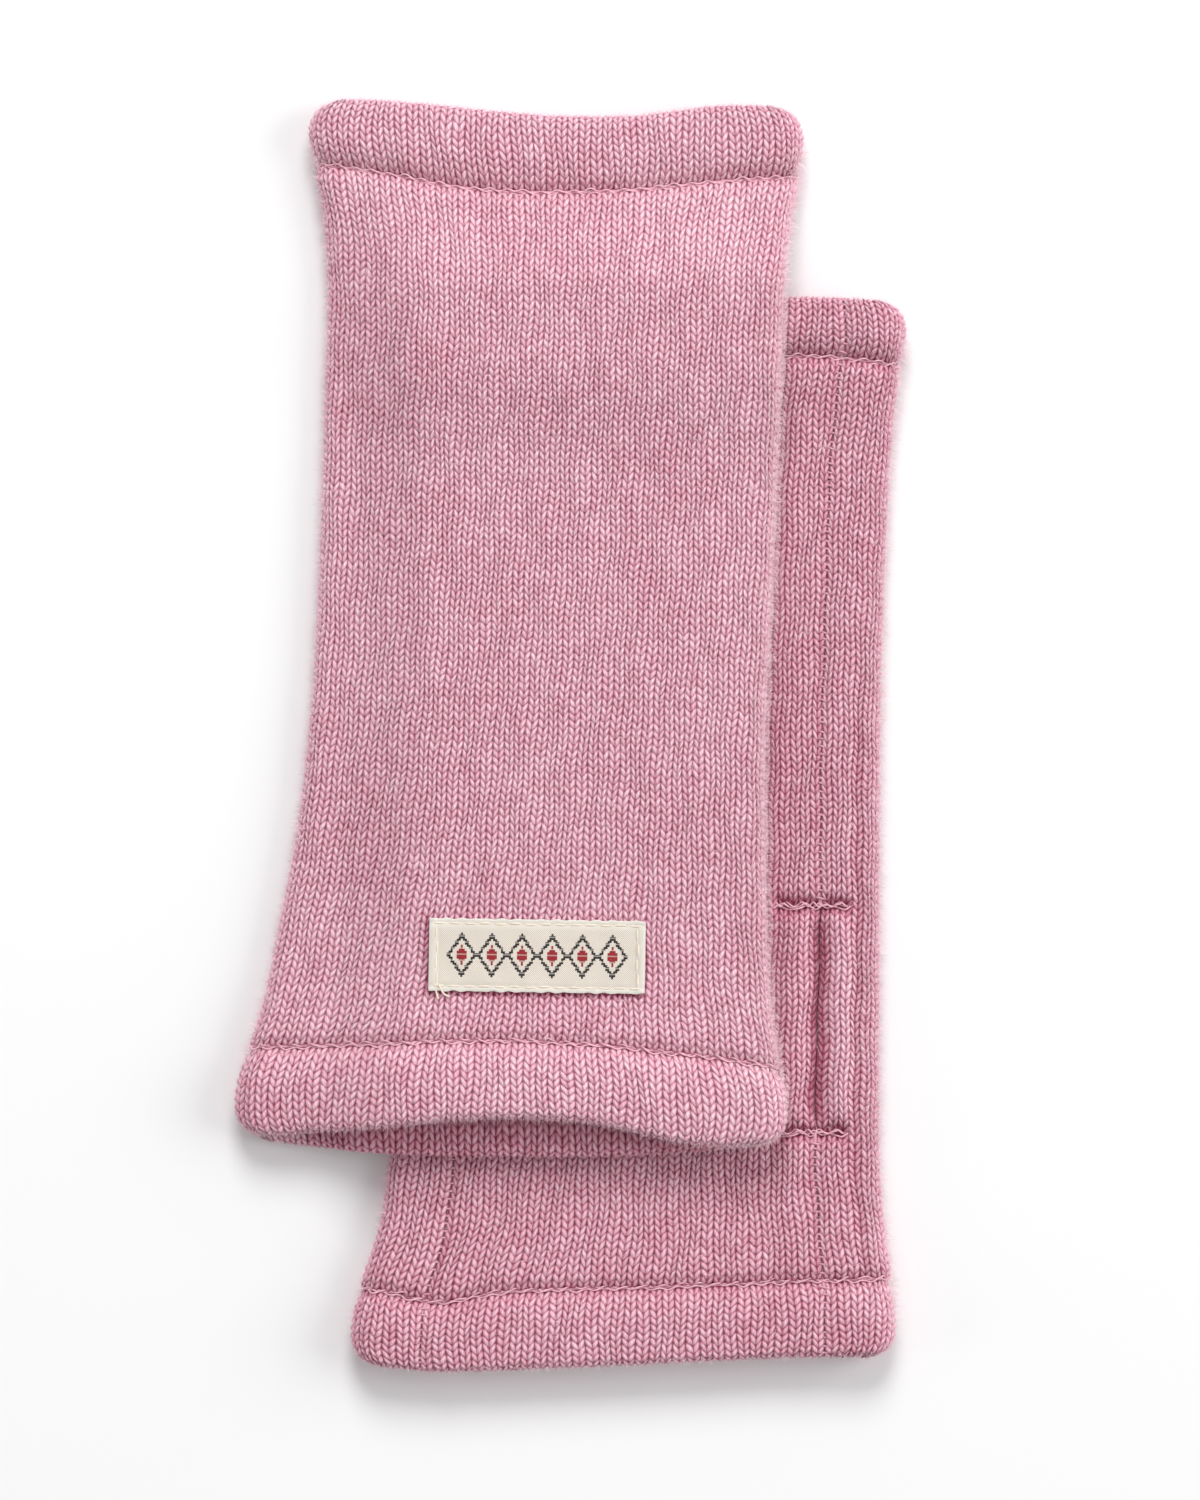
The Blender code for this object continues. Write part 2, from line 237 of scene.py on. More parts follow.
def point(which, around, along, depth):
    """A point of the warmer, in millimetres."""
    places = (np.asarray(v, float) for v in (around, along, depth))
    around, along, depth = np.broadcast_arrays(*places)
    thick = thickness(which, around, along)
    left, right = widths(which, along)
    bend = thick / 2 + FOLD_EASE
    flat = (left + right) / 2 - bend
    arc = math.pi * bend
    half_girth = 2 * flat + arc
    gone = np.abs(around) * half_girth
    turn = np.clip((gone - flat) / arc, 0, 1) * math.pi
    past = np.clip(gone - flat - arc, 0, None)
    depth = depth - relief(which, around, along, 2 * half_girth) * np.clip(1 - depth / CLOTH, 0, 1)
    out = np.minimum(gone, flat) - past + (bend - depth) * np.sin(turn)
    facing = np.cos(turn) * (-1 if which == "lower" else 1)
    height = thick / 2 + (thick / 2 - depth) * facing
    height = height + lift(which, around, along) * smoothstep(facing)
    from_end = np.minimum(along - arm_end(which, around), line(which, around, "finger_end") - along)
    inward = CORNER * (1 - np.sqrt(1 - np.clip(1 - from_end / CORNER, 0, 1) ** 2))
    out = out - inward * np.abs(across_of(around)) ** CORNER_STEEP
    x = PLACE[which][0] + (right - left) / 2 + np.sign(around) * out
    y = PLACE[which][1] + along
    if which == "upper":
        height = height + drape(x, y)
    return np.stack([x, y, height], axis=-1)


print("the flat tube is", BODY_THICK, "mm thick and a hem is", HEM_THICK, "mm")

# %% [markdown]
# Counting in stitches
#
# A knitter counts wales, the columns of stitches, and courses, the rows, and so does the rest of
# this lesson. The hems go on counting past the tube's last course: out to the folded end, round
# it, and back inside.

# %% From stitches to places
COURSE = 1.6
COURSES = {"upper": 114, "lower": 121}
HEM_COURSES = {"arm": 17, "finger": 16}
HEM_INSIDE = 5.0
EDGE_WALES = 3


def edge_shift(which, panel, u, along):
    """How far around a stitch near a seam moves, for the seam's gap and the slit."""
    left, right = widths(which, along)
    share = np.clip((along - SLIT_FROM) / (SLIT_TO - SLIT_FROM), 0, 1)
    half = SEAM_GAP / 2 + SLIT_OPEN / 2 * np.sin(share * math.pi) * (u > 0)
    near = smoothstep(1 - np.abs(np.abs(u) - SEAM_WALE) / EDGE_WALES)
    away = 1 if panel == "palm" else -1
    return away * np.sign(u) * near * half / (left + right)


def hem_wall(which, around, along):
    return (thickness(which, around, along) - LAYER_GAP) / 2


def hem_profile(which, end, around):
    """A hem's line, the length of its straight side, and the radius of its fold."""
    start = line(which, around, end + "_line")
    stop = arm_end(which, around) if end == "arm" else line(which, around, "finger_end")
    radius = hem_wall(which, around, (start + stop) / 2) / 2
    return start, np.abs(stop - start) - radius, radius


def hem_course(which, end, around):
    """The height of a hem's course: as many courses as on the real hem fill its knitted part."""
    _, straight, radius = hem_profile(which, end, around)
    return (straight + math.pi * radius + HEM_INSIDE) / HEM_COURSES[end]


def on_hem(which, end, around, courses, depth):
    """A point of a hem, so many courses from its line."""
    start, straight, radius = hem_profile(which, end, around)
    distance = courses * hem_course(which, end, around)
    turn = np.clip((distance - straight) / radius, 0, math.pi)
    back = np.maximum(distance - straight - math.pi * radius, 0)
    reach = np.minimum(distance, straight) + (radius - depth) * np.sin(turn) - back
    along = start + (-1 if end == "arm" else 1) * reach
    half = hem_wall(which, around, along) / 2
    below = half - (half - depth) * np.cos(turn)
    return point(which, around, along, below)


def around_of(u):
    wrapped = (u + HALF_ROUND) % WALES_ROUND - HALF_ROUND
    return np.where(u == HALF_ROUND, u, wrapped) / HALF_ROUND


def surface(which, panel, u, v, depth):
    """The cloth at wale u (0 at the back's middle) and course v (0 at the arm hem's line)."""
    u, v, depth = np.broadcast_arrays(*(np.asarray(a, float) for a in (u, v, depth)))
    around = around_of(u)
    low, high = hem_lines(which, around)
    total = COURSES[which]
    along = low + np.clip(v / total, 0, 1) * (high - low)
    around = around + edge_shift(which, panel, around * HALF_ROUND, along)
    placed = point(which, around, along, depth)
    for end, past in (("arm", -v), ("finger", v - total)):
        hem = on_hem(which, end, around, np.maximum(past, 0), depth)
        placed = np.where((past > 0)[..., None], hem, placed)
    return (placed + SHIFT) * MM


# %% [markdown]
# The solids stand centred on the origin, so everything here moves by one step: the distance
# between the label's box here and in the frame.

# %% The step from the sizes to the frame
LABEL_SIZE = (45.2, 15.2)
LABEL_AT = (0.2, 38.7)
LABEL_TURN = math.radians(-0.9)


def label_point(across, up, depth):
    """A point of the label, from its own middle, on the upper warmer's back."""
    x = LABEL_AT[0] + across * math.cos(LABEL_TURN) - up * math.sin(LABEL_TURN)
    along = LABEL_AT[1] + across * math.sin(LABEL_TURN) + up * math.cos(LABEL_TURN)
    left, right = widths("upper", along)
    bend = thickness("upper", 0.0, along) / 2 + FOLD_EASE
    half_girth = left + right - 2 * bend + math.pi * bend
    return point("upper", (x - (right - left) / 2) / half_girth, along, depth)


def box_middle(points):
    return (points.min(axis=0) + points.max(axis=0)) / 2


signs = np.array([(-1, -1), (-1, 1), (1, -1), (1, 1)])
corners = signs * LABEL_SIZE / 2
here = box_middle(label_point(corners[:, 0], corners[:, 1], 0.0))
low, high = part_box("upper_label")
SHIFT = np.array([(low.x + high.x) / 2 / MM - here[0], (low.y + high.y) / 2 / MM - here[1], 0.0])
print("everything moves by", SHIFT.round(3), "mm")

# %% [markdown]
# The relief of a stitch
#
# Stocking stitch shows as columns of V shapes, with a deep valley between the wales, a shallower
# one between a V's two legs, and a dip where one stitch goes under the next. Four grid columns
# make a wale and three rows a course, and the rows lean so that the mesh runs along the legs.

# %% Stitch relief
COLUMNS_A_WALE, ROWS_A_COURSE = 4, 3
WALE = 2.26
LEAN, LEAN_EASE = 0.82, 1.2
WALE_VALLEY, LEG_VALLEY, TUCK = 0.58, 0.36, 0.40
TUCK_IN_VALLEY = 0.4
UNEVEN, MOST_UNEVEN = 0.09, 2.5
WANDER_SIDEWAYS, WANDER_UPWARDS = (0.08, 0.06), (0.12, 0.07)
rng = np.random.default_rng(21)


def leg_place(u):
    """1 at the edges of a wale, 0 at its middle, 0.5 along the crest of each leg."""
    return np.abs(2 * (u - np.floor(u)) - 1)


def stitch_depth(u, row):
    """How far each grid point lies below the highest yarn, in millimetres."""
    a = leg_place(u)
    crest = 1 - np.abs(2 * a - 1)
    valley = np.where(a > 0.5, WALE_VALLEY, LEG_VALLEY)
    part = np.mod(row, 1)
    tuck = TUCK * np.clip(1 - ROWS_A_COURSE * np.minimum(part, 1 - part), 0, 1)
    depth = valley * (1 - crest) + tuck * (TUCK_IN_VALLEY + (1 - TUCK_IN_VALLEY) * crest)
    uneven = np.clip(rng.normal(0, UNEVEN, u.shape), -UNEVEN, MOST_UNEVEN * UNEVEN)
    return depth + UNEVEN + uneven


def wandered(which, us, vs):
    """Stitches never stand in perfect lines: a slow wander, but none at the hems' lines."""
    turn = us / WALES_ROUND * math.tau
    ease = smoothstep(np.minimum(np.abs(vs), np.abs(COURSES[which] - vs)) / 2)
    slow, quick = np.sin(0.61 * vs + 2 * np.sin(9 * turn)), np.sin(23 * turn + 0.17 * vs)
    sideways = WANDER_SIDEWAYS[0] * slow + WANDER_SIDEWAYS[1] * quick
    slow, quick = np.sin(31 * turn + 1.3 * np.sin(0.23 * vs)), np.sin(0.9 * vs + 5 * turn)
    upwards = WANDER_UPWARDS[0] * slow + WANDER_UPWARDS[1] * quick
    return us + sideways * ease, vs + upwards * ease


print("a stitch is about", WALE, "mm wide and", COURSE, "mm tall")

# %% [markdown]
# Building a wall of knit
#
# A grid's points are moved onto the cloth. It goes up the outside and comes back down the inside
# with far fewer rows, and narrow triangles close its side edges, so each piece is a closed wall.

# %% From a grid to a wall
# The pull at which the painted shade in the yarn's colour is darkest.
FULL_PAINTED_SHADE = 2.0


def zip_edge(bm, outer, inner):
    """Closes a side between two edges with different counts, always along the shorter diagonal."""
    i, j = 0, 0
    while i < len(outer) - 1 or j < len(inner) - 1:
        step_outer = (outer[i + 1].co - inner[j].co).length if i < len(outer) - 1 else math.inf
        step_inner = (outer[i].co - inner[j + 1].co).length if j < len(inner) - 1 else math.inf
        if step_outer <= step_inner:
            bm.faces.new((outer[i], outer[i + 1], inner[j]))
            i += 1
        else:
            bm.faces.new((outer[i], inner[j + 1], inner[j]))
            j += 1


def new_grid(name, columns, rows):
    bpy.ops.object.select_all(action="DESELECT")
    bpy.ops.mesh.primitive_grid_add(x_subdivisions=columns, y_subdivisions=rows, size=1)
    piece = bpy.context.active_object
    piece.name = piece.data.name = name
    return piece


def move_to(mesh, places):
    mesh.vertices.foreach_set("co", places.reshape(-1).astype(np.float32))


def knit_wall(name, places, turning_row, us, vs, pull_and_painted_shade):
    """A closed wall from points [row, column], up the outside and back down the inside."""
    rows, columns, _ = places.shape
    piece = new_grid(name, columns - 1, rows - 1)
    move_to(piece.data, places)
    bm = bmesh.new()
    bm.from_mesh(piece.data)
    bm.verts.ensure_lookup_table()
    first, last = bm.verts[:columns], bm.verts[(rows - 1) * columns :]
    for c in range(columns - 1):
        bm.faces.new((last[c], last[c + 1], first[c + 1], first[c]))
    for c in (0, columns - 1):
        side = [bm.verts[r * columns + c] for r in range(rows)]
        zip_edge(bm, side[:turning_row], side[turning_row:][::-1])
    bmesh.ops.recalc_face_normals(bm, faces=bm.faces)
    bm.to_mesh(piece.data)
    bm.free()
    piece.data.shade_smooth()
    write_uv(piece.data, us, vs)
    write_painted_shade(piece.data, pull_and_painted_shade)
    return piece


def write_uv(mesh, us, vs):
    """Gives each corner the wale and course of its vertex."""
    layer = mesh.uv_layers.active or mesh.uv_layers.new(name="UVMap")
    corner_vertex = np.empty(len(mesh.loops), np.int32)
    mesh.loops.foreach_get("vertex_index", corner_vertex)
    flat = np.stack([us.reshape(-1), vs.reshape(-1)], axis=-1)[corner_vertex]
    layer.data.foreach_set("uv", flat.reshape(-1).astype(np.float32))


def write_painted_shade(mesh, pull_and_painted_shade):
    """Keeps, from 0 to 1, the painted shade of each vertex in the yarn's colour: more where it lies
    deep or in shade.
    """
    layer = mesh.attributes.new("hollow", "FLOAT", "POINT")
    layer.data.foreach_set("value", np.clip(pull_and_painted_shade / FULL_PAINTED_SHADE, 0, 1).reshape(-1).astype(np.float32))


# %% [markdown]
# The panels and the hems
#
# A back panel wraps round both side folds, a palm panel lies between two seams, and each has a
# hem at both ends. Sewing pulls the yarn down at the hems' lines and round the thumb slit. A vertex
# attribute keeps painted shade for the yarn's colour: where the yarn lies deep, beside the hems'
# lines, along the seam, inside the mouth, below and left of the label, beside the upper warmer's
# edge, and a little over all the lower warmer.

# %% Knit the panels and the hems
PANEL_WALES = {"back": (-SEAM_WALE, SEAM_WALE), "palm": (SEAM_WALE, WALES_ROUND - SEAM_WALE)}
INSIDE_ROWS = 12
LINE_GAP = SEAM_GAP / 2 / COURSE
DEEPEST = CLOTH - 0.15
HEM_DEEPEST = 2.4
HEM_INNER_ROWS, HEM_INNER_DEPTH = 4, 0.3
BESIDE_LINE, BESIDE_REACH = 0.4, 2.4
HEM_ROLL, HEM_ROLL_REACH = 1.0, 8.5
HEM_PUFF = {"upper": 0.7, "lower": 0.35}
LIP, LIP_REACH = 3.2, 5.0
SLIT_EASE, SLIT_PUFF = 7.0, 0.9
BAR_SUNK, BAR_WIDE, BAR_INWARDS = 1.7, 1.7, 1.6
BAR_PAST, BAR_EASE = 0.7, 1.2
LADDER_SUNK, LADDER_WIDE = 0.6, 0.9
LADDER_TO, LADDER_EASE = 165.0, 40.0
# Painted shade in the yarn's colour: beside the hems' lines, inside the mouth, over all the lower
# warmer, round the label, beside the upper warmer's edge and along the seam.
LINE_SHADE_REACH, MOUTH_PAINTED_SHADE = 1.8, 1.0
PAINTED_SHADE_ALL_OVER = {"upper": 0.0, "lower": 0.6}
BELOW_LABEL, LEFT_OF_LABEL, ROUND_LABEL, LABEL_REACH = 2.6, 2.08, 0.65, 0.9
PAINTED_UPPER_SHADOW, UPPER_REACH = 0.45, 4.0
SEAM_PAINTED_SHADE, SEAM_SHADE_REACH = 0.8, 1.2


def sloped(distance, drop, reach):
    """How far an edge lies below the cloth: it falls off ever faster towards the edge."""
    return drop * np.clip(1 - distance / reach, 0, 1) ** 2


def sunk(which, us, vs):
    """The thumb slit's lips, its bars and the allowance's outer line, all on the right."""
    if which == "upper":
        return 0.0
    around = around_of(us)
    low, high = hem_lines(which, around)
    along = low + vs / COURSES[which] * (high - low)
    beyond = (SEAM_WALE - np.abs(around) * HALF_ROUND) * WALE
    off = np.abs(beyond)
    open_here = smoothstep((along - SLIT_FROM) / SLIT_EASE)
    open_here = open_here * smoothstep((SLIT_TO - along) / SLIT_EASE)
    puff = SLIT_PUFF * np.clip(1 - (off / ALLOWANCE) ** 4, 0, 1)
    lips = (sloped(off, LIP, LIP_REACH) - puff) * open_here
    bars = bell(along - SLIT_FROM, BAR_WIDE) + bell(along - SLIT_TO, BAR_WIDE)
    past_bar = ALLOWANCE + BAR_PAST - np.abs(beyond + BAR_INWARDS)
    bars = bars * BAR_SUNK * smoothstep(past_bar / BAR_EASE)
    ladder = LADDER_SUNK * bell(beyond - ALLOWANCE, LADDER_WIDE)
    ladder = ladder * smoothstep((LADDER_TO - along) / LADDER_EASE)
    return (lips + bars + ladder) * (around > 0)


def painted_label_shadow(places):
    """Painted shadow on the wool round the label, darkest below it and on its left."""
    x, y, _ = np.moveaxis(places / MM - label_point(0.0, 0.0, 0.0) - SHIFT, -1, 0)
    across = x * math.cos(LABEL_TURN) + y * math.sin(LABEL_TURN)
    up = y * math.cos(LABEL_TURN) - x * math.sin(LABEL_TURN)
    past_x, past_y = np.abs(across) - LABEL_SIZE[0] / 2, np.abs(up) - LABEL_SIZE[1] / 2
    below, left = (up < 0) & (past_y > past_x), (across < 0) & (past_x > past_y)
    shade = np.where(below, BELOW_LABEL, np.where(left, LEFT_OF_LABEL, ROUND_LABEL))
    return shade * bell(np.maximum(np.maximum(past_x, past_y), 0), LABEL_REACH)


def painted_shadow_of_upper(places):
    """Painted shadow on the lower wool beside the upper warmer's right edge, which stands over it.
    """
    x, y, _ = np.moveaxis(places / MM - SHIFT, -1, 0)
    along = y - PLACE["upper"][1]
    edge = PLACE["upper"][0] + widths("upper", along)[1]
    return PAINTED_UPPER_SHADOW * smoothstep(along / CORNER) * bell(np.maximum(x - edge, 0), UPPER_REACH)


def panel_columns(panel):
    low, high = PANEL_WALES[panel]
    return np.linspace(low, high, (high - low) * COLUMNS_A_WALE + 1)


def lean(us, rows, low, high):
    """How far up each point of a row moves, easing to nothing at the piece's two ends."""
    ease = smoothstep(np.minimum(rows - low, high - rows) / LEAN_EASE)
    return LEAN * (leg_place(us) - 0.5) * ease


def knit_panel(which, panel):
    """The tube's part of one panel, from the arm hem's line to the finger hem's."""
    total = COURSES[which]
    low, high = LINE_GAP, total - LINE_GAP
    rows = np.clip(np.linspace(0, total, total * ROWS_A_COURSE + 1), low, high)
    us, rows = np.meshgrid(panel_columns(panel), rows)
    vs = rows + lean(us, rows, low, high)
    to_edge = np.minimum(rows - low, high - rows) * COURSE
    pull_and_painted_shade = sloped(to_edge, BESIDE_LINE, BESIDE_REACH) + sunk(which, us, vs)
    depth = stitch_depth(us, rows) + pull_and_painted_shade
    # Painted shade beside the hems' lines, in the colour only.
    pull_and_painted_shade = pull_and_painted_shade + sloped(to_edge, FULL_PAINTED_SHADE / 2, LINE_SHADE_REACH)
    inner_us, inner_vs = np.meshgrid(us[0], np.linspace(high, low, INSIDE_ROWS))
    places = [
        surface(which, panel, *wandered(which, us, vs), np.minimum(depth, DEEPEST)),
        surface(which, panel, *wandered(which, inner_us, inner_vs), CLOTH),
    ]
    # Painted shadow round the label, in the colour only.
    if (which, panel) == ("upper", "back"):
        pull_and_painted_shade = pull_and_painted_shade + painted_label_shadow(places[0])
    # Painted shade along the seam, and painted shadow beside the upper warmer's edge, in the colour
    # only.
    if (which, panel) == ("lower", "palm"):
        off = (np.abs(around_of(us)) * HALF_ROUND - SEAM_WALE) * WALE
        in_seam = SEAM_PAINTED_SHADE * bell(off, SEAM_SHADE_REACH)
        pull_and_painted_shade = np.maximum(pull_and_painted_shade, in_seam) + painted_shadow_of_upper(places[0])
    # Painted shade over all of the lower warmer's outside.
    outside = (us, vs, pull_and_painted_shade + PAINTED_SHADE_ALL_OVER[which])
    inside = (inner_us, inner_vs, np.zeros(inner_us.shape))
    places, *kept = (np.concatenate(pair) for pair in (places, *zip(outside, inside)))
    return knit_wall(f"{which}_{panel}_knit", places, len(depth), *kept)


def knit_hem(which, panel, end):
    """A hem, round the folded end and a little way back inside."""
    knitted = HEM_COURSES[end]
    rows = np.clip(np.linspace(0, knitted, knitted * ROWS_A_COURSE + 1), LINE_GAP, knitted)
    us, rows = np.meshgrid(panel_columns(panel), rows)
    to_edge = (rows - LINE_GAP) * COURSE
    depth = stitch_depth(us, rows) + sloped(to_edge, HEM_ROLL, HEM_ROLL_REACH)
    depth = np.minimum(depth, HEM_DEEPEST)
    # Painted shade beside the hem's line, in the colour only, and more inside the mouth.
    pull_and_painted_shade = sloped(to_edge, FULL_PAINTED_SHADE, LINE_SHADE_REACH)
    if (which, panel, end) == ("upper", "palm", "arm"):
        pull_and_painted_shade = pull_and_painted_shade + MOUTH_PAINTED_SHADE
    around = around_of(us[0])
    _, straight, radius = hem_profile(which, end, around)
    share = rows * hem_course(which, end, around) / (straight + radius)
    seen = np.abs(around) < 0.5 if which == "upper" else np.abs(around) > 0.5
    depth = depth - HEM_PUFF[which] * np.sin(np.clip(share, 0, 1) * math.pi) * seen
    whole = (2 * straight + math.pi * radius) / hem_course(which, end, around) - LINE_GAP
    shares = np.arange(1, HEM_INNER_ROWS + 1)[:, None] / HEM_INNER_ROWS
    inner = rows[-1] + (whole - rows[-1]) * shares
    up = -1 if end == "arm" else 1
    steps = np.concatenate([rows + up * lean(us, rows, LINE_GAP, knitted), inner])
    us = np.concatenate([us, np.broadcast_to(us[0], inner.shape)])
    vs = -steps if end == "arm" else COURSES[which] + steps
    depth = np.concatenate([depth, np.full(inner.shape, HEM_INNER_DEPTH)])
    turning_row = int((knitted - 2 - HEM_INSIDE / COURSE) * ROWS_A_COURSE)
    places = surface(which, panel, *wandered(which, us, vs), depth)
    # The lower warmer gets painted shade all over, and the hem's inside is all painted shade.
    pull_and_painted_shade = np.concatenate([pull_and_painted_shade + PAINTED_SHADE_ALL_OVER[which], np.full(inner.shape, FULL_PAINTED_SHADE)])
    return knit_wall(f"{which}_{panel}_{end}_hem_knit", places, turning_row, us, vs, pull_and_painted_shade)


knits = {}
for which in ("lower", "upper"):
    for panel in ("back", "palm"):
        knits[f"{which}_{panel}_panel"] = knit_panel(which, panel)
        for end in ("arm", "finger"):
            knits[f"{which}_{panel}_{end}_hem"] = knit_hem(which, panel, end)
for node, piece in knits.items():
    piece.data.calc_loop_triangles()
    print(f"{node}: {len(piece.data.loop_triangles)} triangles")

# %% [markdown]
# Writing materials as sums
#
# The yarn's shading is mostly arithmetic on the wale and course. A small class stands for a node's
# output and turns Python's operators into Math nodes, and one method makes every node.

# %% A socket that can be added and multiplied


def operator(operation, swapped=False):
    """A method that turns one of Python's operators into a Math node."""

    def method(self, *others):
        inputs = (*others, self) if swapped else (self, *others)
        return self.finish.node("ShaderNodeMath", {"operation": operation}, dict(enumerate(inputs)))

    return method


class Value:
    """A node's output, on which Python's operators add Math nodes."""

    def __init__(self, finish, socket):
        self.finish = finish
        self.socket = socket

    def output(self, name):
        return Value(self.finish, self.socket.node.outputs[name])

    __add__ = __radd__ = operator("ADD")
    __mul__ = __rmul__ = operator("MULTIPLY")
    __sub__, __rsub__ = operator("SUBTRACT"), operator("SUBTRACT", swapped=True)
    __truediv__, __pow__ = operator("DIVIDE"), operator("POWER")
    __lt__, __abs__ = operator("LESS_THAN"), operator("ABSOLUTE")
    fraction, floor, sine = operator("FRACT"), operator("FLOOR"), operator("SINE")


class Finish:
    """A material, with one method that makes its nodes."""

    def __init__(self, name, **fixed):
        self.material = bpy.data.materials.new(name)
        self.material.use_nodes = True
        self.tree = self.material.node_tree
        self.shader = self.tree.nodes["Principled BSDF"]
        for socket, value in fixed.items():
            self.feed(self.shader.inputs[socket.replace("_", " ")], value)

    def node(self, kind, settings=None, inputs=None, output=0):
        made = self.tree.nodes.new(kind)
        for name, value in (settings or {}).items():
            if name == "stops":
                self.set_stops(made.color_ramp.elements, value)
            else:
                setattr(made, name, value)
        for key, value in (inputs or {}).items():
            self.feed(made.inputs[key], value)
        return Value(self, made.outputs[output])

    def set_stops(self, elements, stops):
        while len(elements) < len(stops):
            elements.new(1.0)
        for element, (position, colour) in zip(elements, stops):
            element.position = position
            element.color = colour

    def feed(self, socket, value):
        if isinstance(value, Value):
            self.tree.links.new(value.socket, socket)
        else:
            socket.default_value = value

    def uv(self):
        where = self.node("ShaderNodeUVMap", {"uv_map": "UVMap"})
        u = self.node("ShaderNodeSeparateXYZ", None, {0: where})
        return u, u.output("Y")

    def place(self, x, y):
        return self.node("ShaderNodeCombineXYZ", None, {"X": x, "Y": y})

    def noise(self, where, scale=1.0, detail=2.0):
        inputs = {"Vector": where, "Scale": scale, "Detail": detail}
        return self.node("ShaderNodeTexNoise", None, inputs)

    def mix(self, factor, first, second):
        inputs = {0: factor, 6: first, 7: second}
        return self.node("ShaderNodeMix", {"data_type": "RGBA"}, inputs, 2)

    def paint(self, colours):
        self.feed(self.shader.inputs["Base Color"], colours)

    def bump(self, height, distance):
        made = self.node("ShaderNodeBump", None, {"Height": height, "Distance": distance})
        self.feed(self.shader.inputs["Normal"], made)


def colour(red, green, blue):
    """A screen colour, 0 to 255, as the linear light that a shader wants."""
    shares = [c / 255 for c in (red, green, blue)]
    return (*[((c + 0.055) / 1.055) ** 2.4 if c > 0.04 else c / 12.92 for c in shares], 1.0)


print("a middle pink in linear light:", [round(c, 3) for c in colour(214, 158, 176)])

# %% [markdown]
# The yarn
#
# No two stitches match. The shader finds the leg that a point is on, rounds it with bump, lays the
# plies' fine twist along it, and picks its pink, partly leg by leg and partly along a course, as
# the yarn itself runs. The valleys get painted shade, darker and redder, because light bounces
# between the fibres there, and a vertex attribute adds painted shade where the cloth lies deep
# or in shade.

# %% The knit's finish
# DEEP stands for the yarn's darkest fibres and for the painted shade in the valleys.
DEEP, MIDDLE, LIGHT = colour(164, 72, 98), colour(216, 150, 170), colour(255, 214, 227)


def knit_finish():
    knit = Finish(
        "knit",
        Roughness=0.95, Specular_IOR_Level=0.15,
        Sheen_Weight=0.4, Sheen_Roughness=0.4, Sheen_Tint=colour(255, 212, 224),
        Subsurface_Weight=0.25, Subsurface_Radius=(1.0, 0.5, 0.6), Subsurface_Scale=0.8 * MM,
    )
    u, v = knit.uv()
    edge = abs(u.fraction() * 2 - 1)
    off_crest = abs(edge * 2 - 1)
    row = v - (edge - 0.5) * LEAN
    off_middle = abs(row.fraction() * 2 - 1)
    height = (1 - off_crest**2 * 0.8 - off_middle**2.5 * 0.7 - edge**8 * 0.2) ** 0.6
    across_leg = (u * 2).fraction()
    plies = ((across_leg * 2.5 + row * 0.8) * math.tau).sine()
    fibres = knit.noise(knit.place(u * 9, row * 3), 1.0, 3.0)
    this_leg = knit.place((u * 2).floor(), row.floor())
    leg = knit.node("ShaderNodeTexWhiteNoise", {"noise_dimensions": "2D"}, {0: this_leg})
    slub = knit.noise(knit.place(u * 0.55, row.floor() * 7.3), 1.0, 1.0)
    patch = knit.noise(knit.place(u * 0.07, v * 0.05), 1.0, 2.0)
    # The stitch's height paints shade into the valleys; plies, fibres, legs, slubs and patches are
    # the yarn's own tones.
    shade = height * 0.66 + plies * 0.05 + (fibres - 0.5) * 0.7
    shade = shade + (leg - 0.5) * 0.18 + (slub - 0.5) * 0.3 + (patch - 0.5) * 0.3 + 0.16
    # Painted shade from the vertex attribute: the yarn is darker where the cloth lies deep or in
    # shade.
    hollow = knit.node("ShaderNodeAttribute", {"attribute_name": "hollow"}, None, "Fac")
    shade = shade - hollow**1.5 * 0.55
    stops = [(0.0, DEEP), (0.45, MIDDLE), (1.0, LIGHT)]
    pinks = knit.node("ShaderNodeValToRGB", {"stops": stops}, {0: shade})
    knit.paint(pinks)
    knit.bump(height + plies * 0.06 + fibres * 0.25, 0.5 * MM)
    return knit.material


knit_material = knit_finish()
for piece in knits.values():
    piece.data.materials.append(knit_material)
print(len(knit_material.node_tree.nodes), "nodes shade the yarn")

# %% [markdown]
# The stitching
#
# Two fine strands wander across each hem's groove, above a fold of caught yarn that fills it. The
# side seams have caught yarn too, closed by short rungs, and bars cross the thumb slit's ends. All
# are curves laid along the stitches, beveled round and made meshes.

# %% Hem threads, seam rungs and slit bars
THREAD_RADIUS, RUNG_RADIUS = 0.17, 0.22
WELT_RADIUS, WELT_DEPTH = 0.42, 1.2
WAVE = 1.5
STRAND_APART, STRAND_WAVE, STRAND_DEPTH, STRAND_DIP = 0.15, 0.17, 0.72, 0.3
WELTS_PAST, RUNGS_PAST = 9, 10
RUNG_ACROSS, RUNG_ALONG = np.array([(-0.42, -0.15, 0.15, 0.42), (-0.12, 0.0, 0.1, 0.22)])
RUNG_DEPTHS, RUNG_STRAY = (1.2, 0.5, 0.5, 1.2), 0.12
BAR_STRANDS = ((-0.8, 0.0, 2.3), (0.2, 1.5, 1.7), (0.9, 3.4, 1.2))
BAR_BEFORE, BAR_BEYOND, BAR_APART, BAR_WAVE = 3.3, 5.0, 0.22, 0.3


def on_cloth(which, us, vs, depths):
    """Places on a warmer, whichever panel each one falls on."""
    inside = np.abs(around_of(np.asarray(us, float))) < SEAM_AROUND
    back, palm = (surface(which, panel, us, vs, depths) for panel in ("back", "palm"))
    return np.where(inside[..., None], back, palm)


